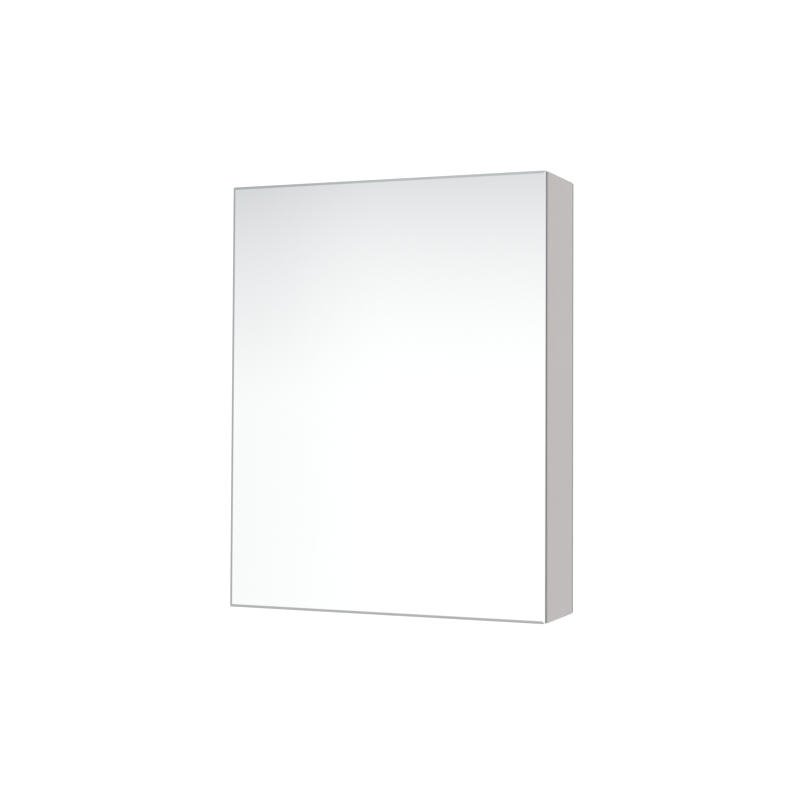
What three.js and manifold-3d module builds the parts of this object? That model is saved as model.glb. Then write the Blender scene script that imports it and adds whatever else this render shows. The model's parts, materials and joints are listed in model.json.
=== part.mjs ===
// A wall-hung medicine cabinet with one mirrored door, folded from aluminium sheet.
//
// Millimetres, +X to the right, +Y towards the wall, +Z up. The origin is the centre of the back
// panel's wall face. The door hangs on the left, on two concealed hinges with cranked door leaves.

import * as THREE from "three";
import { mergeVertices } from "three/addons/utils/BufferGeometryUtils.js";
import Module from "manifold-3d";

const wasm = await Module();
wasm.setup();

// ---------------------------------------------------------------- driving dimensions

const WIDTH = 500;
const HEIGHT = 640;
const DEPTH = 140;

const GAP = 0.3; // air between two pieces that touch
const PAST = 1; // how far a cut reaches past the face that it opens

const SHEET = 2; // the body's aluminium sheet
const BEND = 1.5; // inside radius of its folds
const LIP = 12; // front lip, from the outside
const REAR_FLANGE = 14; // rear flange, from the outside
const END_FLANGE = 20; // end flanges of the top and bottom panels

const GLASS = 3; // both mirrors of the door, and the back mirror
const GLASS_BEVEL = { width: 4, depth: 1 }; // round the front mirror's face
const GLASS_CORNER = 1.5;
const TAPE = { thickness: 0.6, width: 30, inset: 1 }; // its inset is from the frame's edge
const FRAME_WIDTH = 36; // the door's frame bars
const FRAME_INSET = 0.6; // how far the frame stays behind the mirror's edge
const DOOR_GAP = 3; // between the door and the body
const SEAL = { width: 9, inset: 1, fromHinge: 18 };

const HINGE_Z = 240; // each hinge is this far above or below the middle
const PIN_INSET = 5.6; // hinge axis, from the left outer face
const PIN_BEHIND_DOOR = 10; // hinge axis, behind the door's back
const PIN = { radius: 1.5, headRadius: 2.5, headRim: 0.8, headHeight: 1.3 };
const KNUCKLE = { radius: 3, bore: 1.6, doorHeight: 17.4, clearance: 0.6 };
const LEAF_HEIGHT = 50;
const BODY_LEAF = { thickness: 1.5, reach: 40, studReach: 26, studDz: 15 };
const DOOR_LEAF = { thickness: 2, crank: 13, edge: 28, screwX: 20.5, screwDz: 17 };
const STRAP_CLEARANCE = 2; // above and below the door leaf's strap, in the side panel's lip

const RAIL = { width: 14, depth: 4, sheet: 1, bend: 0.5, holes: 13, pitch: 32, hole: 2.5, end: 8 };
const RAIL_ROWS = { front: -96, rear: -32 }; // Y of each rail's middle
const SHELF_ROWS = { upper: 3, lower: -3 }; // which hole, counted from the middle one
const SHELF = { thickness: 5, front: -112, back: -8, corner: 3, play: 0.7 };
const SUPPORT = {
  width: 10,
  plate: 1.5,
  reach: 11,
  padTop: 1.3,
  padBottom: -1.2,
  foot: -7,
  ear: 5,
  plug: 2.2,
  plugPlay: 0.7,
};

const STUD = { radius: 2, length: 7, hole: 2.3 };
const NUT = { acrossFlats: 7, thickness: 3.2 };
const SCREW = { head: 3.1, rim: 0.2, shank: 1.4, cone: 1.6, chamfer: 0.5, play: 0.3 };
const SCREW_CROSS = { long: 1.7, short: 0.35, deep: 0.9 };
const BACK_SCREW = { x: 241.5, z: 180, sunk: 0.2, length: 6 };
const LEAF_SCREW_LENGTH = 5;
const STRIKE_SCREW_LENGTH = 4;
const FRAME_SCREW_HOLE = 1.7;

const WALL_HOLES = { x: 203.2, z: 262, entry: 6.5, slot: 2.9, rise: 12, low: 3.4 }; // 16 inches apart
const BACK_MIRROR = { width: 456, height: 472, corner: 2 };

const STRIKE = { thickness: 1.2, halfWidth: 8, halfHeight: 20, corner: 3, screwZ: 15, x: 229 };
const MAGNET = { halfWidth: 4, halfHeight: 10, depth: 12 };
const CATCH = {
  setBack: 0.8, // the housing's nose, behind the magnet's face
  depth: 20,
  halfWidth: 7.5,
  halfHeight: 14,
  ear: 27,
  earThickness: 3,
  lipClearance: 1,
};

// ---------------------------------------------------------------- worked out from them

const HALF_WIDTH = WIDTH / 2;
const HALF_HEIGHT = HEIGHT / 2;
const INNER_X = HALF_WIDTH - SHEET; // inner face of a side panel
const INNER_Z = HALF_HEIGHT - SHEET; // inner face of the top panel
const INSIDE_SHEET = -SHEET - GAP; // what lies against the back panel starts here

const DOOR_FRONT = -DEPTH;
const TAPE_FRONT = DOOR_FRONT + GLASS + GAP;
const FRAME_FRONT = TAPE_FRONT + TAPE.thickness + GAP;
const DOOR_BACK = FRAME_FRONT + GLASS;
const BODY_FRONT = DOOR_BACK + DOOR_GAP;
const FOLD_DEPTH = SHEET + BEND; // a fold takes this much of a panel, from its outer face

const PIN_X = -HALF_WIDTH + PIN_INSET;
const PIN_Y = DOOR_BACK + PIN_BEHIND_DOOR;
const DOOR_LEAF_BACK = DOOR_BACK + GAP + DOOR_LEAF.thickness;
const RAIL_FACE = INNER_X - GAP - RAIL.depth;
const RAIL_MIDDLE_HOLE = (RAIL.holes - 1) / 2;
const STRIKE_BACK = DOOR_BACK + GAP + STRIKE.thickness;
const MAGNET_FRONT = STRIKE_BACK + GAP;

const CORNER_STUD = { y: -66, z: INNER_Z - 11 };
const HINGE_STUD_Y = PIN_Y + BODY_LEAF.studReach;
const CATCH_STUD = { y: -118, dz: 21 };

const BOTH = [-1, 1]; // a mirrored pair
const SIDES = { left: -1, right: 1 };
const LEVELS = { upper: 1, lower: -1 };

// ---------------------------------------------------------------- finishes

const FINISHES = {
  body: { color: 0xc2bdbc, roughness: 0.42, metalness: 0.6 },
  back: { color: 0xb9b7b6, roughness: 0.5, metalness: 0.6 },
  mirror: { color: 0xf4f6f6, roughness: 0.02, metalness: 1 },
  glass: { color: 0xd5e6df, roughness: 0.05, metalness: 0 },
  tape: { color: 0x1a1a1b, roughness: 0.9, metalness: 0 },
  frame: { color: 0x2b2b2d, roughness: 0.5, metalness: 0.5 },
  foam: { color: 0x232324, roughness: 0.95, metalness: 0 },
  steel: { color: 0xb4b6b8, roughness: 0.3, metalness: 1 },
  plastic: { color: 0xd9dad8, roughness: 0.45, metalness: 0 },
  ferrite: { color: 0x39383a, roughness: 0.6, metalness: 0.2 },
};

// ---------------------------------------------------------------- solids

// A closed three.js geometry as a manifold solid, ready for joins and cuts.
function solid(geometry) {
  geometry.deleteAttribute("normal");
  geometry.deleteAttribute("uv");
  const merged = mergeVertices(geometry, 1e-4);
  return new wasm.Manifold(
    new wasm.Mesh({
      numProp: 3,
      vertProperties: merged.attributes.position.array,
      triVerts: new Uint32Array(merged.index.array),
    }),
  );
}

// A box between two opposite corners, given in either order.
function block(a, b) {
  const size = a.map((value, axis) => Math.abs(b[axis] - value));
  const middle = a.map((value, axis) => (value + b[axis]) / 2);
  return solid(new THREE.BoxGeometry(...size).translate(...middle));
}

// Turns a geometry made along +Y to run along a direction, and moves its origin to a point.
function aimed(geometry, point, direction) {
  const along = new THREE.Vector3(...direction).normalize();
  const turn = new THREE.Quaternion().setFromUnitVectors(new THREE.Vector3(0, 1, 0), along);
  return geometry.applyQuaternion(turn).translate(...point);
}

// A round bar from one point to another.
function rod(from, to, radius, sides = 24) {
  const span = to.map((value, axis) => value - from[axis]);
  const length = Math.hypot(...span);
  const geometry = new THREE.CylinderGeometry(radius, radius, length, sides);
  return solid(aimed(geometry.translate(0, length / 2, 0), from, span));
}

// A turned piece: the profile is a list of [radius, distance along the direction].
function turned(profile, point, direction, sides = 24) {
  return solid(aimed(new THREE.LatheGeometry(points(profile), sides), point, direction));
}

// Extrudes an outline whose two axes and direction of extrusion are the three given, from a point.
function extruded(outline, length, axes, point) {
  const shape = outline instanceof THREE.Shape ? outline : new THREE.Shape(outline);
  const settings = { depth: length, bevelEnabled: false, curveSegments: 6 };
  const geometry = new THREE.ExtrudeGeometry(shape, settings);
  const place = new THREE.Matrix4().makeBasis(...axes.map((axis) => new THREE.Vector3(...axis)));
  place.setPosition(...point);
  return solid(geometry.applyMatrix4(place));
}

// Drawn in X and Y, extruded up.
function post(outline, bottom, top) {
  return extruded(outline, top - bottom, [[1, 0, 0], [0, 1, 0], [0, 0, 1]], [0, 0, bottom]);
}

// Drawn in Y and Z, extruded to the right.
function beam(outline, left, right) {
  return extruded(outline, right - left, [[0, 1, 0], [0, 0, 1], [1, 0, 0]], [left, 0, 0]);
}

// Drawn in X and Z, extruded from the back to the front.
function plate(outline, front, back) {
  return extruded(outline, back - front, [[1, 0, 0], [0, 0, 1], [0, -1, 0]], [0, back, 0]);
}

// ---------------------------------------------------------------- outlines

function points(pairs) {
  return pairs.map(([a, b]) => new THREE.Vector2(a, b));
}

function roundedRectangle(left, right, bottom, top, radius) {
  const shape = new THREE.Shape();
  shape.absarc(right - radius, top - radius, radius, 0, Math.PI / 2);
  shape.absarc(left + radius, top - radius, radius, Math.PI / 2, Math.PI);
  shape.absarc(left + radius, bottom + radius, radius, Math.PI, 1.5 * Math.PI);
  shape.absarc(right - radius, bottom + radius, radius, 1.5 * Math.PI, 2 * Math.PI);
  return shape;
}

// A rounded rectangle about the middle, from its half width and half height.
function centred(x, z, radius) {
  return roundedRectangle(-x, x, -z, z, radius);
}

// The outline of folded sheet. The path is the line of sharp corners along its left face, all folds
// are right angles, and the sheet lies on the right of the path.
function foldedSheet(path, thickness, bend) {
  const corners = points(path);
  const heading = (i) => corners[i + 1].clone().sub(corners[i]).normalize();
  const toTheRight = (along) => new THREE.Vector2(along.y, -along.x);
  const last = corners.length - 1;
  const leftFace = [corners[0]];
  const rightFace = [corners[0].clone().addScaledVector(toTheRight(heading(0)), thickness)];
  for (let i = 1; i < last; i += 1) {
    const before = heading(i - 1);
    const after = heading(i);
    const turnsRight = toTheRight(before).dot(after) > 0;
    const leftRadius = turnsRight ? bend + thickness : bend;
    const rightRadius = turnsRight ? bend : bend + thickness;
    const centre = corners[i].clone().addScaledVector(before, -leftRadius);
    centre.addScaledVector(after, leftRadius);
    leftFace.push(...quarterArc(centre, leftRadius, before, after));
    rightFace.push(...quarterArc(centre, rightRadius, before, after));
  }
  leftFace.push(corners[last]);
  const end = toTheRight(heading(last - 1));
  rightFace.push(corners[last].clone().addScaledVector(end, thickness));
  return [...leftFace, ...rightFace.reverse()];
}

// The points of a fold, from the heading before it to the heading after it.
function quarterArc(centre, radius, before, after) {
  const steps = 5;
  return Array.from({ length: steps + 1 }, (_, step) => {
    const angle = (step / steps) * (Math.PI / 2);
    const point = centre.clone().addScaledVector(after, -radius * Math.cos(angle));
    return point.addScaledVector(before, radius * Math.sin(angle));
  });
}

// ---------------------------------------------------------------- the assembly

const cabinet = new THREE.Group();
const body = new THREE.Group();
const door = new THREE.Group();
cabinet.add(body, door);

function add(group, name, shape, finish) {
  const { vertProperties, triVerts } = shape.getMesh();
  const indexed = new THREE.BufferGeometry();
  indexed.setAttribute("position", new THREE.BufferAttribute(vertProperties, 3));
  indexed.setIndex(new THREE.BufferAttribute(triVerts, 1));
  const geometry = indexed.toNonIndexed();
  geometry.computeVertexNormals();
  const mesh = new THREE.Mesh(geometry, new THREE.MeshStandardMaterial(FINISHES[finish]));
  mesh.name = name;
  group.add(mesh);
}

// ---------------------------------------------------------------- fasteners

// A threaded stud welded to a side panel's inner face.
function stud(side, y, z) {
  const root = side * (INNER_X + SHEET / 2);
  return rod([root, y, z], [side * (INNER_X - STUD.length), y, z], STUD.radius, 16);
}

// The hole for such a stud, through whatever stands on it.
function studHole(side, y, z) {
  const end = side * (INNER_X - 2 * STUD.length);
  return rod([side * INNER_X, y, z], [end, y, z], STUD.hole, 16);
}

// A hexagon nut on a side panel's stud, against a face at the distance x from the middle.
function nut(side, x, y, z) {
  const outside = [side * (x - GAP), y, z];
  const inside = [side * (x - GAP - NUT.thickness), y, z];
  const cornerRadius = NUT.acrossFlats / 2 / Math.cos(Math.PI / 6);
  return rod(outside, inside, cornerRadius, 6).subtract(studHole(side, y, z));
}

// A countersunk screw with a cross slot that points to the front, its head's flat face at y.
function screw(x, y, z, length) {
  const profile = [
    [0, 0],
    [SCREW.head, 0],
    [SCREW.head, SCREW.rim],
    [SCREW.shank, SCREW.cone],
    [SCREW.shank, length - SCREW.chamfer],
    [SCREW.shank - SCREW.chamfer, length],
    [0, length],
  ];
  const { long, short, deep } = SCREW_CROSS;
  const slot = (halfX, halfZ) =>
    block([x - halfX, y - deep, z - halfZ], [x + halfX, y + PAST, z + halfZ]);
  const cross = slot(long, short).add(slot(short, long));
  return turned(profile, [x, y, z], [0, -1, 0]).subtract(cross);
}

// The countersunk hole for such a screw, in a plate whose rear face is at y.
function screwHole(x, y, z) {
  const head = SCREW.head + SCREW.play;
  const shank = SCREW.shank + SCREW.play;
  const depth = 20;
  const profile = [
    [0, -PAST],
    [head, -PAST],
    [head, SCREW.rim],
    [shank, SCREW.cone],
    [shank, depth],
    [0, depth],
  ];
  return turned(profile, [x, y, z], [0, -1, 0]);
}

// ---------------------------------------------------------------- body

function sidePanel(side) {
  const path = [
    [side * (HALF_WIDTH - LIP), BODY_FRONT],
    [side * HALF_WIDTH, BODY_FRONT],
    [side * HALF_WIDTH, INSIDE_SHEET],
    [side * (HALF_WIDTH - REAR_FLANGE), INSIDE_SHEET],
  ];
  if (side > 0) path.reverse();
  let panel = post(foldedSheet(path, SHEET, BEND), -HALF_HEIGHT, HALF_HEIGHT);
  for (const end of BOTH) {
    // The lip and the flange stop short of the top and bottom panels.
    const near = [side * INNER_X, BODY_FRONT - PAST, end * (INNER_Z - GAP)];
    const far = [0, 0, end * (HALF_HEIGHT + PAST)];
    panel = panel.subtract(block(near, far));
    panel = panel.add(stud(side, CORNER_STUD.y, end * CORNER_STUD.z));
    panel = panel.subtract(screwHole(side * BACK_SCREW.x, 0, end * BACK_SCREW.z));
  }
  return panel;
}

function leftSidePanel() {
  let panel = sidePanel(SIDES.left);
  const notch = KNUCKLE.doorHeight / 2 + STRAP_CLEARANCE;
  for (const level of Object.values(LEVELS)) {
    const z = level * HINGE_Z;
    // The lip is open where the door leaf's strap swings through it.
    const near = [-INNER_X, BODY_FRONT - PAST, z - notch];
    panel = panel.subtract(block(near, [0, BODY_FRONT + FOLD_DEPTH, z + notch]));
    for (const way of BOTH) {
      panel = panel.add(stud(SIDES.left, HINGE_STUD_Y, z + way * BODY_LEAF.studDz));
    }
  }
  return panel;
}

function rightSidePanel() {
  const studs = BOTH.map((way) => stud(SIDES.right, CATCH_STUD.y, way * CATCH_STUD.dz));
  return studs.reduce((panel, one) => panel.add(one), sidePanel(SIDES.right));
}

// The top panel for end 1, the bottom panel for end -1.
function endPanel(end) {
  const path = [
    [BODY_FRONT, end * (HALF_HEIGHT - LIP)],
    [BODY_FRONT, end * HALF_HEIGHT],
    [INSIDE_SHEET, end * HALF_HEIGHT],
    [INSIDE_SHEET, end * (HALF_HEIGHT - REAR_FLANGE)],
  ];
  if (end < 0) path.reverse();
  const reach = INNER_X - GAP;
  let panel = beam(foldedSheet(path, SHEET, BEND), -reach, reach);
  for (const side of Object.values(SIDES)) {
    // Its lip and rear flange stop short of the side panels' own.
    const lipEdge = [side * (HALF_WIDTH - LIP - GAP), BODY_FRONT - PAST, end * INNER_Z];
    panel = panel.subtract(block(lipEdge, [side * HALF_WIDTH, BODY_FRONT + FOLD_DEPTH, 0]));
    const flangeX = HALF_WIDTH - REAR_FLANGE - GAP;
    const flangeEdge = [side * flangeX, INSIDE_SHEET + PAST, end * INNER_Z];
    panel = panel.subtract(block(flangeEdge, [side * HALF_WIDTH, INSIDE_SHEET - FOLD_DEPTH, 0]));
    // An end flange lies against the side panel.
    const outside = [side * reach, BODY_FRONT + FOLD_DEPTH, end * (INNER_Z + SHEET / 2)];
    const inside = [side * (reach - SHEET), INSIDE_SHEET - FOLD_DEPTH, end * (INNER_Z - END_FLANGE)];
    panel = panel.add(block(outside, inside));
    panel = panel.subtract(studHole(side, CORNER_STUD.y, end * CORNER_STUD.z));
  }
  return panel;
}

// A round hole straight through the back panel.
function backHole(x, z, radius, sides = 24) {
  return rod([x, PAST, z], [x, -SHEET - PAST, z], radius, sides);
}

// A keyhole for a wall screw: the head goes in low and the shank rides up the slot.
function keyhole(x, z) {
  const { entry, slot, rise } = WALL_HOLES;
  const neck = block([x - slot, PAST, z], [x + slot, -SHEET - PAST, z + rise]);
  return backHole(x, z, entry, 32).add(neck).add(backHole(x, z + rise, slot));
}

function backPanel() {
  let panel = plate(centred(HALF_WIDTH, HALF_HEIGHT, SHEET), -SHEET, 0);
  for (const side of Object.values(SIDES)) {
    panel = panel.subtract(keyhole(side * WALL_HOLES.x, WALL_HOLES.z));
    panel = panel.subtract(backHole(side * WALL_HOLES.x, -WALL_HOLES.z, WALL_HOLES.low));
    for (const end of BOTH) {
      panel = panel.subtract(screwHole(side * BACK_SCREW.x, 0, end * BACK_SCREW.z));
    }
  }
  return panel;
}

function backMirror() {
  const { width, height, corner } = BACK_MIRROR;
  return plate(centred(width / 2, height / 2, corner), INSIDE_SHEET - GLASS, INSIDE_SHEET);
}

// A foam strip on the top, right and bottom lips. The hinge side has none.
function frontSeal() {
  const start = PIN_X + SEAL.fromHinge;
  const x = HALF_WIDTH - SEAL.inset;
  const z = HALF_HEIGHT - SEAL.inset;
  const outline = [
    [start, z - SEAL.width],
    [x - SEAL.width, z - SEAL.width],
    [x - SEAL.width, SEAL.width - z],
    [start, SEAL.width - z],
    [start, -z],
    [x, -z],
    [x, z],
    [start, z],
  ];
  return plate(points(outline), DOOR_BACK + GAP, BODY_FRONT - GAP);
}

add(body, "side_panel_left", leftSidePanel(), "body");
add(body, "side_panel_right", rightSidePanel(), "body");
add(body, "top_panel", endPanel(1), "body");
add(body, "bottom_panel", endPanel(-1), "body");
add(body, "back_panel", backPanel(), "back");
add(body, "back_mirror", backMirror(), "mirror");
add(body, "front_seal", frontSeal(), "foam");

for (const [sideName, side] of Object.entries(SIDES)) {
  for (const [levelName, level] of Object.entries(LEVELS)) {
    const flangeFace = INNER_X - GAP - SHEET;
    const cornerNut = nut(side, flangeFace, CORNER_STUD.y, level * CORNER_STUD.z);
    add(body, `corner_nut_${levelName}_${sideName}`, cornerNut, "steel");
    const { x, z, sunk, length } = BACK_SCREW;
    const backScrew = screw(side * x, -sunk, level * z, length);
    add(body, `back_screw_${levelName}_${sideName}`, backScrew, "steel");
  }
}

// ---------------------------------------------------------------- shelves

// A channel bonded to a side panel, with a row of holes for the shelf supports.
function shelfRail(side, y) {
  const half = RAIL.width / 2;
  const root = side * (INNER_X - GAP);
  const face = side * RAIL_FACE;
  const path = [
    [root, y - side * half],
    [face, y - side * half],
    [face, y + side * half],
    [root, y + side * half],
  ];
  const halfLength = RAIL_MIDDLE_HOLE * RAIL.pitch + RAIL.end;
  let rail = post(foldedSheet(path, RAIL.sheet, RAIL.bend), -halfLength, halfLength);
  for (let hole = 0; hole < RAIL.holes; hole += 1) {
    const z = (hole - RAIL_MIDDLE_HOLE) * RAIL.pitch;
    const through = rod([face - 2 * RAIL.sheet, y, z], [face + 2 * RAIL.sheet, y, z], RAIL.hole, 12);
    rail = rail.subtract(through);
  }
  return rail;
}

// A plastic bracket that plugs into a rail's hole, with a pad for the shelf and an ear beside it.
function shelfSupport(side, y, z) {
  const face = RAIL_FACE - GAP;
  const at = (inwards, up) => new THREE.Vector2(side * (face - inwards), z + up);
  const outline = [
    at(0, SUPPORT.foot),
    at(0, SUPPORT.ear),
    at(SUPPORT.plate, SUPPORT.ear),
    at(SUPPORT.plate, SUPPORT.padTop),
    at(SUPPORT.reach, SUPPORT.padTop),
    at(SUPPORT.reach, SUPPORT.padBottom),
    at(SUPPORT.plate, SUPPORT.foot),
  ];
  const bracket = plate(outline, y - SUPPORT.width / 2, y + SUPPORT.width / 2);
  const inBracket = [side * (face - SUPPORT.plate / 2), y, z];
  const inRail = [side * (INNER_X - GAP - SUPPORT.plugPlay), y, z];
  return bracket.add(rod(inBracket, inRail, SUPPORT.plug, 16));
}

function shelf(z) {
  const x = RAIL_FACE - GAP - SUPPORT.plate - SHELF.play;
  const bottom = z + SUPPORT.padTop + GAP;
  const outline = roundedRectangle(-x, x, SHELF.front, SHELF.back, SHELF.corner);
  return post(outline, bottom, bottom + SHELF.thickness);
}

for (const [sideName, side] of Object.entries(SIDES)) {
  for (const [rowName, y] of Object.entries(RAIL_ROWS)) {
    add(body, `shelf_rail_${sideName}_${rowName}`, shelfRail(side, y), "body");
    for (const [shelfName, row] of Object.entries(SHELF_ROWS)) {
      const support = shelfSupport(side, y, row * RAIL.pitch);
      add(body, `shelf_support_${shelfName}_${sideName}_${rowName}`, support, "plastic");
    }
  }
}
for (const [shelfName, row] of Object.entries(SHELF_ROWS)) {
  add(cabinet, `glass_shelf_${shelfName}`, shelf(row * RAIL.pitch), "glass");
}

// ---------------------------------------------------------------- catch

// The magnet's block, or the pocket for it when it is grown all round.
function magnet(grow) {
  const x = MAGNET.halfWidth + grow;
  const z = MAGNET.halfHeight + grow;
  const front = [STRIKE.x - x, MAGNET_FRONT - grow, -z];
  return block(front, [STRIKE.x + x, MAGNET_FRONT + MAGNET.depth + grow, z]);
}

// The nose holds the magnet inside the lip, and the foot and its two ears lie on the side panel.
function catchHousing() {
  const { halfWidth, halfHeight, ear, earThickness } = CATCH;
  const front = MAGNET_FRONT + CATCH.setBack;
  const back = front + CATCH.depth;
  const behindLip = BODY_FRONT + SHEET + CATCH.lipClearance;
  const wall = INNER_X - GAP;
  const nose = block(
    [STRIKE.x - halfWidth, front, -halfHeight],
    [STRIKE.x + halfWidth, back, halfHeight],
  );
  const foot = block([STRIKE.x, behindLip, -halfHeight], [wall, back, halfHeight]);
  const ears = block([wall - earThickness, behindLip, -ear], [wall, back, ear]);
  let housing = nose.add(foot).add(ears).subtract(magnet(GAP));
  for (const way of BOTH) {
    housing = housing.subtract(studHole(SIDES.right, CATCH_STUD.y, way * CATCH_STUD.dz));
  }
  return housing;
}

function strikePlate() {
  const { x, halfWidth, halfHeight, corner, screwZ } = STRIKE;
  const outline = roundedRectangle(x - halfWidth, x + halfWidth, -halfHeight, halfHeight, corner);
  let strike = plate(outline, DOOR_BACK + GAP, STRIKE_BACK);
  for (const way of BOTH) {
    strike = strike.subtract(screwHole(x, STRIKE_BACK, way * screwZ));
  }
  return strike;
}

add(body, "catch_housing", catchHousing(), "plastic");
add(body, "catch_magnet", magnet(0), "ferrite");
add(door, "catch_strike_plate", strikePlate(), "steel");
for (const [levelName, level] of Object.entries(LEVELS)) {
  const earFace = INNER_X - GAP - CATCH.earThickness;
  const catchNut = nut(SIDES.right, earFace, CATCH_STUD.y, level * CATCH_STUD.dz);
  add(body, `catch_nut_${levelName}`, catchNut, "steel");
  const strikeScrew = screw(STRIKE.x, STRIKE_BACK, level * STRIKE.screwZ, STRIKE_SCREW_LENGTH);
  add(door, `strike_screw_${levelName}`, strikeScrew, "steel");
}

// ---------------------------------------------------------------- hinges

// A round bar on the hinge axis, for half a height above and below z.
function onAxis(z, half, radius) {
  return rod([PIN_X, PIN_Y, z - half], [PIN_X, PIN_Y, z + half], radius, 32);
}

// The leaf on the side panel, with a knuckle above and below the door leaf's.
function bodyLeaf(z) {
  const half = LEAF_HEIGHT / 2;
  const root = -INNER_X + GAP;
  const near = [root, PIN_Y, z - half];
  const far = [root + BODY_LEAF.thickness, PIN_Y + BODY_LEAF.reach, z + half];
  const middle = KNUCKLE.doorHeight / 2 + GAP;
  const clear = KNUCKLE.radius + KNUCKLE.clearance;
  const doorKnuckleRoom = block(
    [root - PAST, PIN_Y - clear, z - middle],
    [PIN_X + clear, PIN_Y + clear, z + middle],
  );
  let leaf = block(near, far).add(onAxis(z, half, KNUCKLE.radius)).subtract(doorKnuckleRoom);
  for (const way of BOTH) {
    leaf = leaf.subtract(studHole(SIDES.left, HINGE_STUD_Y, z + way * BODY_LEAF.studDz));
  }
  return leaf.subtract(onAxis(z, LEAF_HEIGHT, KNUCKLE.bore));
}

// The leaf on the door. Its strap goes inwards from the knuckle before it goes forward to the door,
// so that it swings round the front of the side panel.
function doorLeaf(z) {
  const half = LEAF_HEIGHT / 2;
  const knuckle = KNUCKLE.doorHeight / 2;
  const strapRear = PIN_Y + DOOR_LEAF.thickness / 2;
  const crankX = PIN_X + DOOR_LEAF.crank;
  const edgeX = PIN_X + DOOR_LEAF.edge;
  const path = [
    [PIN_X + KNUCKLE.radius / 3, strapRear],
    [crankX, strapRear],
    [crankX, DOOR_LEAF_BACK],
    [edgeX, DOOR_LEAF_BACK],
  ];
  const flange = block([crankX + BEND, DOOR_BACK + GAP, z - half], [edgeX, DOOR_LEAF_BACK, z + half]);
  let leaf = post(foldedSheet(path, DOOR_LEAF.thickness, BEND), z - knuckle, z + knuckle);
  leaf = leaf.add(onAxis(z, knuckle, KNUCKLE.radius)).add(flange);
  for (const way of BOTH) {
    const screwZ = z + way * DOOR_LEAF.screwDz;
    leaf = leaf.subtract(screwHole(PIN_X + DOOR_LEAF.screwX, DOOR_LEAF_BACK, screwZ));
  }
  return leaf.subtract(onAxis(z, LEAF_HEIGHT, KNUCKLE.bore));
}

function hingePin(z) {
  const half = LEAF_HEIGHT / 2 + GAP;
  const end = half + PIN.headHeight;
  const headFlat = PIN.headRadius - PIN.headRim;
  const upperHalf = [
    [PIN.radius, half],
    [PIN.headRadius, half],
    [PIN.headRadius, half + PIN.headRim],
    [headFlat, end],
    [0, end],
  ];
  const lowerHalf = upperHalf.map(([radius, along]) => [radius, -along]).reverse();
  return turned([...lowerHalf, ...upperHalf], [PIN_X, PIN_Y, z], [0, 0, 1], 32);
}

for (const [levelName, level] of Object.entries(LEVELS)) {
  const z = level * HINGE_Z;
  const name = `hinge_${levelName}`;
  add(body, `${name}_body_leaf`, bodyLeaf(z), "steel");
  add(body, `${name}_pin`, hingePin(z), "steel");
  add(door, `${name}_door_leaf`, doorLeaf(z), "steel");
  for (const [mark, way] of Object.entries({ a: 1, b: -1 })) {
    const leafFace = INNER_X - GAP - BODY_LEAF.thickness;
    const leafNut = nut(SIDES.left, leafFace, HINGE_STUD_Y, z + way * BODY_LEAF.studDz);
    add(body, `${name}_nut_${mark}`, leafNut, "steel");
    const screwX = PIN_X + DOOR_LEAF.screwX;
    const screwZ = z + way * DOOR_LEAF.screwDz;
    const leafScrew = screw(screwX, DOOR_LEAF_BACK, screwZ, LEAF_SCREW_LENGTH);
    add(door, `${name}_screw_${mark}`, leafScrew, "steel");
  }
}

// ---------------------------------------------------------------- door

// The section of bevelled glass, wider than the pane: the bevels run on past its edges.
function bevelledSection(half, back) {
  const { width, depth } = GLASS_BEVEL;
  const shoulder = DOOR_FRONT + 2 * depth;
  return [
    [-half - width, back + PAST],
    [-half - width, shoulder],
    [width - half, DOOR_FRONT],
    [half - width, DOOR_FRONT],
    [half + width, shoulder],
    [half + width, back + PAST],
  ];
}

// The pane is what its outline and its two bevelled sections have in common.
function frontMirror() {
  const back = DOOR_FRONT + GLASS;
  const outline = centred(HALF_WIDTH, HALF_HEIGHT, GLASS_CORNER);
  const pane = plate(outline, DOOR_FRONT - PAST, back);
  const acrossX = points(bevelledSection(HALF_WIDTH, back));
  const acrossZ = bevelledSection(HALF_HEIGHT, back).map(([z, y]) => new THREE.Vector2(y, z));
  const bevelledX = pane.intersect(post(acrossX, -HEIGHT, HEIGHT));
  return bevelledX.intersect(beam(acrossZ.reverse(), -WIDTH, WIDTH));
}

function bondingTape() {
  const x = HALF_WIDTH - FRAME_INSET - TAPE.inset;
  const z = HALF_HEIGHT - FRAME_INSET - TAPE.inset;
  const corner = 1;
  const ring = centred(x, z, corner);
  ring.holes.push(centred(x - TAPE.width, z - TAPE.width, corner));
  return plate(ring, TAPE_FRONT, TAPE_FRONT + TAPE.thickness);
}

// One bar of the door's frame, mitred at both ends: from one corner of the frame to the next.
function frameBar(from, to) {
  const along = to.clone().sub(from).normalize();
  const inwards = new THREE.Vector2(along.y, -along.x);
  const start = from.clone().addScaledVector(along, GAP / 2);
  const end = to.clone().addScaledVector(along, -GAP / 2);
  const mitre = (corner, way) =>
    corner.clone().addScaledVector(inwards, FRAME_WIDTH).addScaledVector(along, way * FRAME_WIDTH);
  return plate([start, end, mitre(end, -1), mitre(start, 1)], FRAME_FRONT, DOOR_BACK);
}

// The frame's four bars, by name.
function doorFrame() {
  const x = HALF_WIDTH - FRAME_INSET;
  const z = HALF_HEIGHT - FRAME_INSET;
  const corners = points([[-x, -z], [-x, z], [x, z], [x, -z]]);
  const names = ["left", "top", "right", "bottom"];
  return names.map((name, i) => [name, frameBar(corners[i], corners[(i + 1) % names.length])]);
}

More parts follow.
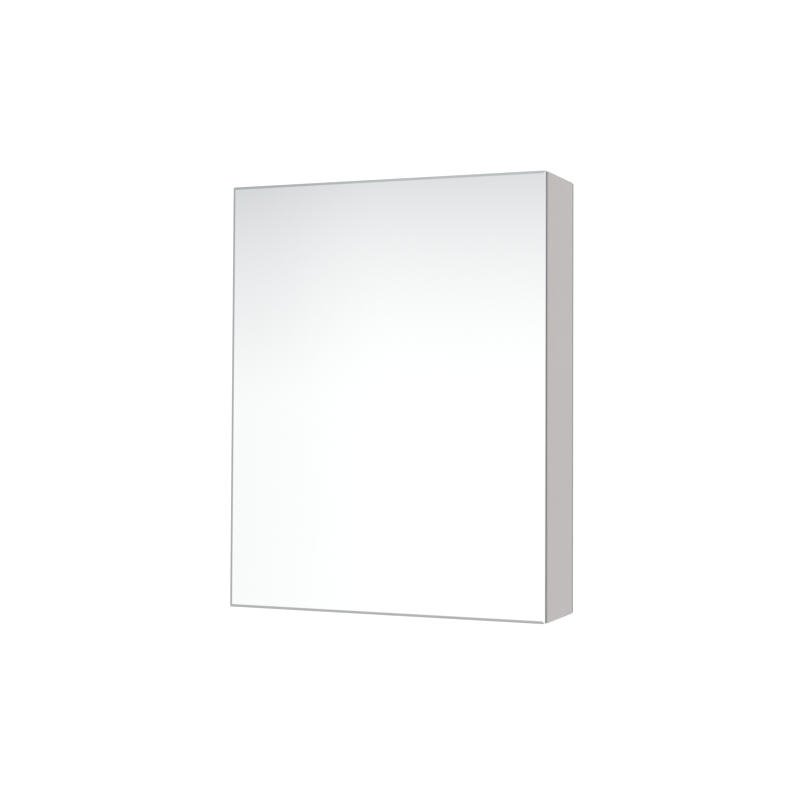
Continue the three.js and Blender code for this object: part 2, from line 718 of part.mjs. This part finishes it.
// The tapped holes in the frame for the hinges' and the strike plate's screws.
function doorScrewHoles() {
  const places = [];
  for (const level of Object.values(LEVELS)) {
    places.push([STRIKE.x, level * STRIKE.screwZ]);
    for (const way of BOTH) {
      places.push([PIN_X + DOOR_LEAF.screwX, level * HINGE_Z + way * DOOR_LEAF.screwDz]);
    }
  }
  const hole = ([x, z]) =>
    rod([x, DOOR_BACK + PAST, z], [x, FRAME_FRONT - PAST, z], FRAME_SCREW_HOLE, 16);
  return places.map(hole).reduce((all, one) => all.add(one));
}

function rearMirror() {
  const inset = FRAME_INSET + FRAME_WIDTH + GAP;
  const corner = 0.5;
  return plate(centred(HALF_WIDTH - inset, HALF_HEIGHT - inset, corner), FRAME_FRONT, DOOR_BACK);
}

add(door, "door_mirror_front", frontMirror(), "mirror");
add(door, "door_bonding_tape", bondingTape(), "tape");
for (const [name, bar] of doorFrame()) {
  add(door, `door_frame_${name}`, bar.subtract(doorScrewHoles()), "frame");
}
add(door, "door_mirror_rear", rearMirror(), "mirror");

export default cabinet;
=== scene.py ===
"""A wall-hung mirror cabinet in a plain white studio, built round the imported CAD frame."""

import json
from math import cos, pi, radians, sin
from typing import Any, NamedTuple, Optional

import bmesh
import bpy
from mathutils import Matrix, Vector

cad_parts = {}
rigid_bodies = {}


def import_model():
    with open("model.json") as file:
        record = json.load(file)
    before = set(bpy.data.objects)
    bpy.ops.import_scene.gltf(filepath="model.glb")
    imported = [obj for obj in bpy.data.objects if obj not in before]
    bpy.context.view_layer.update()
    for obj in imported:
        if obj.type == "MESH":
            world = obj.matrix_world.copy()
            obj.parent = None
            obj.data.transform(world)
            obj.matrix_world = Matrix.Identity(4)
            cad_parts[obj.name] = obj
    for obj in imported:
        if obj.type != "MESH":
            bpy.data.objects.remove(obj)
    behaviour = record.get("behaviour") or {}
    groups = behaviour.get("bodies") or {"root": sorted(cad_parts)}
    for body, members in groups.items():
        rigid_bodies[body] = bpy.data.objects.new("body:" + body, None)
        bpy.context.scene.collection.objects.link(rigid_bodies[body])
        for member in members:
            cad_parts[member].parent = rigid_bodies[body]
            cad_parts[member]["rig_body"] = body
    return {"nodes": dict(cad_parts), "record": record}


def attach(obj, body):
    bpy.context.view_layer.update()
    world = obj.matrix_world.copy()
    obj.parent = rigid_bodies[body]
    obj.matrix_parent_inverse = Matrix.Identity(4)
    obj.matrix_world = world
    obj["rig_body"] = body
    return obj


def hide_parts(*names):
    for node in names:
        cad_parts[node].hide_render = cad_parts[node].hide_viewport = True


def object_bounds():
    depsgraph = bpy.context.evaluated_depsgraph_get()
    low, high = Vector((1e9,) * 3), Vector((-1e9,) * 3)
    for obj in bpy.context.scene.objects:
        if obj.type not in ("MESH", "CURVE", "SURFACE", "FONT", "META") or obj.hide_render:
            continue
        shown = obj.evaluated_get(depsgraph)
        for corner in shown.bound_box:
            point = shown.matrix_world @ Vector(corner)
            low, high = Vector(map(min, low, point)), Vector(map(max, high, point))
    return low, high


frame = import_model()
cad_low, cad_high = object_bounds()
nodes = frame["nodes"]
MM = 0.001
X, Y, Z = range(3)

# ---------------------------------------------------------------- camera

CAMERA_FROM_FRONT = Vector((0.9261, -2.1795, -0.0255))  # from the middle of the door's front
CAMERA_YAW = 22.392  # degrees, to the left of straight at the wall
CAMERA_PITCH = 1.904  # degrees, upwards
CAMERA_ROLL = -0.284  # degrees
CAMERA_LENS = 72.56  # mm
CAMERA_SENSOR = 36  # mm
CAMERA_SHIFT = -0.05  # of the picture's width


def make_camera():
    """A camera that looks at the door from a little to its right."""
    middle = (cad_low + cad_high) / 2
    front = Vector((middle.x, cad_low.y, middle.z))
    turn = (
        Matrix.Rotation(radians(CAMERA_YAW), 4, "Z")
        @ Matrix.Rotation(radians(CAMERA_PITCH), 4, "X")
        @ Matrix.Rotation(radians(CAMERA_ROLL), 4, "Y")
        @ Matrix.Rotation(radians(90), 4, "X")
    )
    data = bpy.data.cameras.new("camera")
    data.lens = CAMERA_LENS
    data.sensor_width = CAMERA_SENSOR
    data.shift_y = CAMERA_SHIFT
    camera = bpy.data.objects.new("camera", data)
    camera.matrix_world = Matrix.Translation(front + CAMERA_FROM_FRONT) @ turn
    bpy.context.scene.collection.objects.link(camera)
    bpy.context.scene.camera = camera


make_camera()

# ---------------------------------------------------------------- shader nodes

NOISE_ROUGHNESS = 0.6
NOISE_LOW, NOISE_HIGH = 0.3, 0.7  # nearly all of a noise's values lie between these
MIX_FACTOR, MIX_LOW, MIX_HIGH = 0, 6, 7  # a Mix node's sockets when it mixes colours
MIX_RESULT = 2
FINE_BUMP = 0.02 * MM  # how deep the finest textures are


def fill(tree, made, inputs):
    """Sets a shader node's inputs: each is a number or colour, or a socket to link."""
    for name, value in inputs.items():
        if isinstance(value, bpy.types.NodeSocket):
            tree.links.new(value, made.inputs[name])
        else:
            made.inputs[name].default_value = value


def node(tree, kind, inputs, **settings):
    """A new shader node, with its inputs filled."""
    made = tree.nodes.new("ShaderNode" + kind)
    for name, value in settings.items():
        setattr(made, name, value)
    fill(tree, made, inputs)
    return made


def calc(tree, operation, *values):
    """The result of one step of arithmetic on numbers or sockets."""
    return node(tree, "Math", dict(enumerate(values)), operation=operation).outputs[0]


def product(tree, first, *others):
    """All the values multiplied together."""
    total = first
    for other in others:
        total = calc(tree, "MULTIPLY", total, other)
    return total


def smooth(tree, value, start, end, low=0.0, high=1.0):
    """low before start, high after end, and a smooth step between them. It may run downwards."""
    inputs = {"Value": value, "From Min": start, "From Max": end, "To Min": low, "To Max": high}
    return node(tree, "MapRange", inputs, interpolation_type="SMOOTHSTEP").outputs["Result"]


def mixed(tree, factor, low, high):
    """A colour between low and high."""
    inputs = {MIX_FACTOR: factor, MIX_LOW: low, MIX_HIGH: high}
    return node(tree, "Mix", inputs, data_type="RGBA").outputs[MIX_RESULT]


def own_place(tree):
    """A point's place in its piece's own coordinates."""
    return node(tree, "TexCoord", {}).outputs["Object"]


def noise(tree, scale, detail, stretch=(1, 1, 1)):
    """Noise of that many cycles per metre, drawn out along the axes by stretch."""
    inverse = tuple(1 / value for value in stretch)
    moved = node(tree, "Mapping", {"Vector": own_place(tree), "Scale": inverse}).outputs["Vector"]
    inputs = {"Vector": moved, "Scale": scale, "Detail": detail, "Roughness": NOISE_ROUGHNESS}
    return node(tree, "TexNoise", inputs).outputs["Fac"]


def varied(tree, pattern, low, high):
    """A value that runs from low to high over the range that a noise really takes."""
    return smooth(tree, pattern, NOISE_LOW, NOISE_HIGH, low, high)


def bumped(tree, height, strength, distance=FINE_BUMP):
    """A normal bumped by height, which runs from 0 to 1 and stands for up to distance."""
    inputs = {"Height": height, "Strength": strength, "Distance": distance}
    return node(tree, "Bump", inputs).outputs["Normal"]


def material(name):
    """A new material, its node tree and its principled shader."""
    made = bpy.data.materials.new(name)
    made.use_nodes = True
    return made, made.node_tree, made.node_tree.nodes["Principled BSDF"]


def grey(value, tint=(1, 1, 1)):
    """A grey of that value, or the tint dimmed to it."""
    return (value * tint[0], value * tint[1], value * tint[2], 1)


# ---------------------------------------------------------------- materials

WARM = (1.06, 0.985, 0.985)  # the body's tint
COOL = (1, 1, 1.01)
GLASS_IOR = 1.52
GRAIN_STRETCH = 60  # how much longer than wide the grain of rolled sheet is
GRAIN_SHARE = 0.25  # of the sheet's tone, and cloudiness takes the rest


def anodised(name, value, tint=WARM, along=Z, metallic=0.75, roughness=0.42):
    """Satin anodised aluminium: a fine grain along one axis, and a faint cloudiness."""
    made, tree, shader = material(name)
    stretch = [1, 1, 1]
    stretch[along] = GRAIN_STRETCH
    grain = noise(tree, scale=2600, detail=2, stretch=stretch)
    cloud = noise(tree, scale=9, detail=4)
    from_grain = calc(tree, "MULTIPLY", grain, GRAIN_SHARE)
    from_cloud = calc(tree, "MULTIPLY", cloud, 1 - GRAIN_SHARE)
    tone = calc(tree, "ADD", from_grain, from_cloud)
    fill(tree, shader, {
        "Base Color": mixed(tree, tone, grey(value * 0.975, tint), grey(value * 1.025, tint)),
        "Roughness": varied(tree, grain, roughness - 0.05, roughness + 0.06),
        "Normal": bumped(tree, grain, strength=0.06),
        "Metallic": metallic,
    })
    return made


def bare_edge(name, value):
    """The rounded edge of a sheet, where handling has worn the finish bright in places."""
    made, tree, shader = material(name)
    worn = smooth(tree, noise(tree, scale=160, detail=4), 0.42, 0.62)
    scratch = noise(tree, scale=1500, detail=2)
    fill(tree, shader, {
        "Base Color": mixed(tree, worn, grey(value, WARM), grey(value * 1.25)),
        "Roughness": varied(tree, scratch, 0.24, 0.4),
        "Normal": bumped(tree, scratch, strength=0.1),
        "Metallic": 0.9,
    })
    return made


def silvered(name):
    """Silvered float glass, with the faintest haze where it has been wiped."""
    made, tree, shader = material(name)
    wiped = noise(tree, scale=14, detail=5, stretch=(1, 1, 3))
    fill(tree, shader, {
        "Base Color": mixed(tree, wiped, (0.93, 0.94, 0.94, 1), (0.95, 0.955, 0.955, 1)),
        "Roughness": smooth(tree, wiped, 0.35, 0.75, low=0.004, high=0.02),
        "Metallic": 1.0,
        "IOR": GLASS_IOR,
    })
    return made


def silvered_bevel(name):
    """The bevel ground round a mirror's face: silvered behind, but greyer and less true."""
    made, tree, shader = material(name)
    ground = noise(tree, scale=60, detail=4)
    fill(tree, shader, {
        "Base Color": mixed(tree, ground, (0.68, 0.69, 0.69, 1), (0.74, 0.75, 0.75, 1)),
        "Roughness": varied(tree, ground, 0.06, 0.14),
        "Metallic": 1.0,
    })
    return made


def polished_glass_edge(name, value):
    """The ground and polished edge of a mirror: grey-green, and slightly uneven."""
    made, tree, shader = material(name)
    ground = noise(tree, scale=900, detail=3)
    dark = grey(value * 0.9, (0.97, 1, 0.99))
    light = grey(value * 1.1, (0.98, 1, 1))
    fill(tree, shader, {
        "Base Color": mixed(tree, ground, dark, light),
        "Roughness": varied(tree, ground, 0.08, 0.2),
        "Normal": bumped(tree, ground, strength=0.08),
        "Metallic": 0.0,
        "IOR": GLASS_IOR,
        "Coat Weight": 0.5,
    })
    return made


def clear_glass(name):
    """Clear toughened glass, very slightly green."""
    made, tree, shader = material(name)
    wiped = noise(tree, scale=20, detail=4)
    fill(tree, shader, {
        "Base Color": mixed(tree, wiped, (0.95, 0.985, 0.97, 1), (0.965, 0.99, 0.98, 1)),
        "Roughness": smooth(tree, wiped, 0.4, 0.8, low=0.0, high=0.03),
        "Transmission Weight": 1.0,
        "IOR": GLASS_IOR,
    })
    return made


def green_glass_edge(name):
    """A shelf's polished edge, deeper green than its faces."""
    made, tree, shader = material(name)
    ground = noise(tree, scale=1200, detail=3)
    fill(tree, shader, {
        "Base Color": mixed(tree, ground, (0.34, 0.55, 0.47, 1), (0.45, 0.66, 0.58, 1)),
        "Roughness": varied(tree, ground, 0.1, 0.22),
        "Normal": bumped(tree, ground, strength=0.1),
        "Transmission Weight": 0.6,
        "IOR": GLASS_IOR,
    })
    return made


def moulded(name, colour):
    """Moulded plastic with a fine spark-eroded texture."""
    made, tree, shader = material(name)
    texture = noise(tree, scale=2200, detail=3)
    flow = noise(tree, scale=60, detail=3)
    fill(tree, shader, {
        "Base Color": mixed(tree, flow, grey(0.94, colour), grey(1.04, colour)),
        "Roughness": varied(tree, texture, 0.37, 0.55),
        "Normal": bumped(tree, texture, strength=0.15, distance=0.03 * MM),
        "Metallic": 0.0,
    })
    return made


def foam(name, value):
    """Black closed-cell foam: small pits all over."""
    made, tree, shader = material(name)
    pits = {"Vector": own_place(tree), "Scale": 1400}
    cells = node(tree, "TexVoronoi", pits).outputs["Distance"]
    fill(tree, shader, {
        "Base Color": mixed(tree, cells, grey(value * 0.6), grey(value * 1.6)),
        "Roughness": smooth(tree, cells, 0.1, 0.6, low=0.8, high=0.95),
        "Normal": bumped(tree, cells, strength=0.5, distance=0.15 * MM),
        "Metallic": 0.0,
    })
    return made


def black_bar(name, value, worn_value):
    """Black anodised flat bar, with a fine grain and faint wear. The dye hides the metal."""
    made, tree, shader = material(name)
    grain = noise(tree, scale=1800, detail=2)
    worn = smooth(tree, noise(tree, scale=24, detail=5), 0.4, 0.7)
    fill(tree, shader, {
        "Base Color": mixed(tree, worn, grey(value), grey(worn_value)),
        "Roughness": varied(tree, grain, 0.36, 0.46),
        "Normal": bumped(tree, grain, strength=0.04),
        "Metallic": 0.0,
        "Specular IOR Level": 0.3,
    })
    return made


def plated(name, value, scale=2400, roughness=0.24):
    """Satin nickel or zinc plating, brighter where it rubs, with light tumbling marks."""
    made, tree, shader = material(name)
    marks = noise(tree, scale, detail=3)
    cloud = smooth(tree, noise(tree, scale=180, detail=4), 0.35, 0.7)
    fill(tree, shader, {
        "Base Color": mixed(tree, cloud, grey(value, COOL), grey(value * 1.12)),
        "Roughness": varied(tree, marks, roughness - 0.06, roughness + 0.12),
        "Normal": bumped(tree, marks, strength=0.08),
        "Metallic": 1.0,
    })
    return made


def ferrite(name):
    """Sintered magnet: dark grey and slightly speckled."""
    made, tree, shader = material(name)
    speck = noise(tree, scale=1800, detail=4)
    fill(tree, shader, {
        "Base Color": mixed(tree, speck, grey(0.03), grey(0.075)),
        "Roughness": varied(tree, speck, 0.5, 0.7),
        "Normal": bumped(tree, speck, strength=0.2, distance=0.05 * MM),
        "Metallic": 0.3,
    })
    return made


body_sheet = anodised("body_sheet_satin", 0.45)
body_edge = bare_edge("body_sheet_edge", 0.55)
back_sheet = anodised("back_sheet_mill", 0.5, COOL, along=X, metallic=0.85, roughness=0.36)
rail_sheet = anodised("rail_satin", 0.55)
mirror = silvered("mirror_silvered")
mirror_edge = polished_glass_edge("mirror_polished_edge", 0.28)
mirror_bevel = silvered_bevel("mirror_silvered_bevel")
shelf_glass = clear_glass("shelf_clear_glass")
shelf_edge = green_glass_edge("shelf_glass_edge")
support_plastic = moulded("support_plastic", (0.78, 0.79, 0.77))
catch_plastic = moulded("catch_plastic", (0.74, 0.75, 0.74))
seal_foam = foam("seal_foam", 0.018)
tape_foam = foam("bonding_tape_foam", 0.012)
frame_bar = black_bar("frame_black_bar", 0.016, 0.022)
frame_edge = black_bar("frame_black_edge", 0.024, 0.045)
nickel = plated("hinge_nickel", 0.62)
nickel_edge = plated("hinge_nickel_edge", 0.72, roughness=0.18)
zinc = plated("fastener_zinc", 0.4, scale=1800, roughness=0.3)
magnet_black = ferrite("magnet_ferrite")

# ---------------------------------------------------------------- pieces from the CAD shapes

WELD = 0.002 * MM  # points closer than this are one point
FACET_ANGLE = radians(1)  # facets that meet at less than this are one face
FOLD_ANGLE = radians(35)  # edges that are sharper than this are rounded
MIRROR_CREASE = radians(8)  # less than the angle between a mirror's face and its bevel
PANE_FACE = 0.995  # a pane's face is this square to its axis, and its bevel less so
PANE_BEVEL = 0.9
SURFACE, EDGE, BEVEL = range(3)  # a piece's materials

slot_of = {row["node"]: row["material_slot"] for row in frame["record"]["subparts"]}


class Finish(NamedTuple):
    """How the pieces of one material slot are finished."""

    surface: Any
    edge: Any
    radius: float  # of the rounded edges
    segments: int
    crease: float = FOLD_ANGLE
    pane_axis: Optional[int] = None  # the axis across a pane of glass
    bevel: Any = None


def face_finish(face, pane_axis):
    """Which of a piece's materials a face takes."""
    if pane_axis is None:
        return SURFACE
    squareness = abs(face.normal[pane_axis])
    if squareness > PANE_FACE:
        return SURFACE
    return BEVEL if squareness > PANE_BEVEL else EDGE


def refined(name, finish):
    """The shape of a CAD node as a clean mesh with rounded edges, which stands for the node.

    Its coplanar facets are joined, its sharp edges are rounded, and the rounded strips take the
    edge material. On a pane of glass, so does all but its two faces and its bevels."""
    source = nodes[name]
    mesh = bpy.data.meshes.new("finished_" + name)
    shape = bmesh.new()
    shape.from_mesh(source.data)
    bmesh.ops.remove_doubles(shape, verts=shape.verts, dist=WELD)
    bmesh.ops.dissolve_limit(
        shape, angle_limit=FACET_ANGLE, verts=shape.verts, edges=shape.edges
    )
    for face in shape.faces:
        face.material_index = face_finish(face, finish.pane_axis)
    sharp = [e for e in shape.edges if e.is_manifold and e.calc_face_angle() > FOLD_ANGLE]
    bmesh.ops.bevel(
        shape,
        geom=sharp,
        offset=finish.radius,
        segments=finish.segments,
        profile=0.5,
        affect="EDGES",
        clamp_overlap=True,
        material=EDGE,
    )
    shape.to_mesh(mesh)
    shape.free()
    for look in (finish.surface, finish.edge, finish.bevel or finish.edge):
        mesh.materials.append(look)
    mesh.shade_smooth()
    mesh.set_sharp_from_angle(angle=finish.crease)
    piece = bpy.data.objects.new("finished_" + name, mesh)
    bpy.context.scene.collection.objects.link(piece)
    even = piece.modifiers.new("even_shading", "WEIGHTED_NORMAL")
    even.keep_sharp = True
    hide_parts(name)
    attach(piece, source["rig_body"])


FINISHES = {
    "body_sheet": Finish(body_sheet, body_edge, 0.25 * MM, 2),
    "back_sheet": Finish(back_sheet, body_edge, 0.2 * MM, 2),
    "rail_sheet": Finish(rail_sheet, body_edge, 0.12 * MM, 1),
    "mirror_glass": Finish(mirror, mirror_edge, 0.3 * MM, 1, MIRROR_CREASE, Y, mirror_bevel),
    "shelf_glass": Finish(shelf_glass, shelf_edge, 0.6 * MM, 2, FOLD_ANGLE, Z),
    "support_plastic": Finish(support_plastic, support_plastic, 0.3 * MM, 2),
    "catch_plastic": Finish(catch_plastic, catch_plastic, 0.4 * MM, 2),
    "ferrite": Finish(magnet_black, magnet_black, 0.3 * MM, 1),
    "seal_foam": Finish(seal_foam, seal_foam, 0.4 * MM, 2),
    "bonding_tape": Finish(tape_foam, tape_foam, 0.1 * MM, 1),
    "frame_bar": Finish(frame_bar, frame_edge, 0.3 * MM, 1),
    "hinge_steel": Finish(nickel, nickel_edge, 0.2 * MM, 2),
    "fastener_steel": Finish(zinc, zinc, 0.15 * MM, 1),
}

for node_name in sorted(nodes):
    refined(node_name, FINISHES[slot_of[node_name]])

# ---------------------------------------------------------------- studio

FLOOR_DROP = 0.62  # from the underside of the cabinet, which hangs on a wall
FLOOR_RADIUS = 3.4
FLOOR_SIDES = 96
FLOOR_FRONT_PAINTED_SHADE, FLOOR_BACK = 0.44, 0.94  # its colour in front of the cabinet, darkened there as painted shade, and behind it
FLOOR_PAINTED_SHADE_FADES = (-0.4, 1.0)  # metres behind the door's front, where that painted shade fades out
FLOOR_MOTTLE = 0.02  # how uneven that change is
FLOOR_GLOW = 0.12  # the light that it gives by itself

# The studio's white is shaded by direction. Each pair is where a change starts and ends, along
# the direction's x, y or z, and each shade is the part of the white that is taken away.
WHITE_LEVEL = 1.07  # a little over white
FALL_RATE, FALL_MOST = 12.5, 0.42  # the shade grows with the square of the height
OVERHEAD = (0.45, 0.85)  # where that shade fades again
LEFT = (0.385, 0.475)
LEFT_LOW_SHADE, LEFT_HIGH_SHADE = 0.055, 0.095
LEFT_RISE = (0.0, 0.06)
FAR_LEFT = (0.55, 0.75)
FAR_LEFT_SHADE = 0.455
RIGHT_STARTS, RIGHT_ENDS = (-0.1, 0.1), (0.5, 0.3)
RIGHT_GLOW = 0.33
FRONT = (0.1, -0.3)  # behind the cabinet it is all white
WHITE_TINT, SHADE_TINT = (1, 1, 1, 1), (0.95, 1.0, 1.05, 1)


def make_floor():
    """A round pale floor well below the cabinet, with painted shade that makes it greyer in front
    of it, and a faint glow of its own.
    """
    mesh = bpy.data.meshes.new("studio_floor")
    angles = [2 * pi * side / FLOOR_SIDES for side in range(FLOOR_SIDES)]
    rim = [(FLOOR_RADIUS * cos(angle), FLOOR_RADIUS * sin(angle), 0) for angle in angles]
    mesh.from_pydata(rim, [], [range(FLOOR_SIDES)])
    floor = bpy.data.objects.new("studio_floor", mesh)
    floor.location = (0, cad_low.y, cad_low.z - FLOOR_DROP)
    bpy.context.scene.collection.objects.link(floor)
    made, tree, shader = material("studio_floor")
    depth = node(tree, "SeparateXYZ", {"Vector": own_place(tree)}).outputs["Y"]
    # painted shade: the floor's colour runs from darker in front of the cabinet to pale behind it
    back = smooth(tree, depth, *FLOOR_PAINTED_SHADE_FADES)
    mottle = varied(tree, noise(tree, scale=3, detail=2), -FLOOR_MOTTLE, FLOOR_MOTTLE)
    painted_shade_blend = calc(tree, "ADD", back, mottle)
    fill(tree, shader, {
        # the floor's colour carries painted shade in front of the cabinet
        "Base Color": mixed(tree, painted_shade_blend, grey(FLOOR_FRONT_PAINTED_SHADE), grey(FLOOR_BACK)),
        "Roughness": 0.8,
        "Emission Color": grey(1),
        "Emission Strength": FLOOR_GLOW,
    })
    mesh.materials.append(made)


def make_world():
    """A white studio. What the door faces grows softly darker upwards and towards the left,
    and is brightest a little to the right."""
    world = bpy.data.worlds.new("studio")
    bpy.context.scene.world = world
    world.use_nodes = True
    tree = world.node_tree
    direction = node(tree, "TexCoord", {}).outputs["Generated"]
    x, y, z = node(tree, "SeparateXYZ", {"Vector": direction}).outputs
    leftwards = calc(tree, "MULTIPLY", x, -1.0)
    front = smooth(tree, y, *FRONT)
    up = calc(tree, "MAXIMUM", z, 0.0)
    fall = calc(tree, "MINIMUM", product(tree, up, up, FALL_RATE), FALL_MOST)
    from_above = product(tree, fall, smooth(tree, z, *OVERHEAD, low=1.0, high=0.0))
    left_shade = smooth(tree, z, *LEFT_RISE, LEFT_LOW_SHADE, LEFT_HIGH_SHADE)
    from_left = product(tree, smooth(tree, leftwards, *LEFT), left_shade)
    far_left = smooth(tree, leftwards, *FAR_LEFT, 0.0, FAR_LEFT_SHADE)
    near = calc(tree, "ADD", from_above, from_left)
    shade = product(tree, calc(tree, "MAXIMUM", near, far_left), front)
    right = product(tree, smooth(tree, x, *RIGHT_STARTS), smooth(tree, x, *RIGHT_ENDS))
    glow = product(tree, right, front, RIGHT_GLOW)
    white = calc(tree, "MULTIPLY", calc(tree, "ADD", glow, 1.0), WHITE_LEVEL)
    level = calc(tree, "MULTIPLY", calc(tree, "SUBTRACT", 1.0, shade), white)
    tint = mixed(tree, shade, WHITE_TINT, SHADE_TINT)
    background = tree.nodes["Background"]
    tree.links.new(tint, background.inputs["Color"])
    tree.links.new(level, background.inputs["Strength"])


def make_softbox(name, place, aim, size, power):
    """A square soft light of that size in metres and power in watts."""
    data = bpy.data.lights.new(name, "AREA")
    data.shape = "SQUARE"
    data.size = size
    data.energy = power
    light = bpy.data.objects.new(name, data)
    light.location = place
    light.rotation_euler = (Vector(aim) - Vector(place)).to_track_quat("-Z", "Y").to_euler()
    bpy.context.scene.collection.objects.link(light)


make_floor()
make_world()
make_softbox("softbox_above", place=(0.5, -0.9, 2.4), aim=(0, -0.1, 0), size=1.8, power=18)
bpy.context.scene.view_settings.view_transform = "Standard"
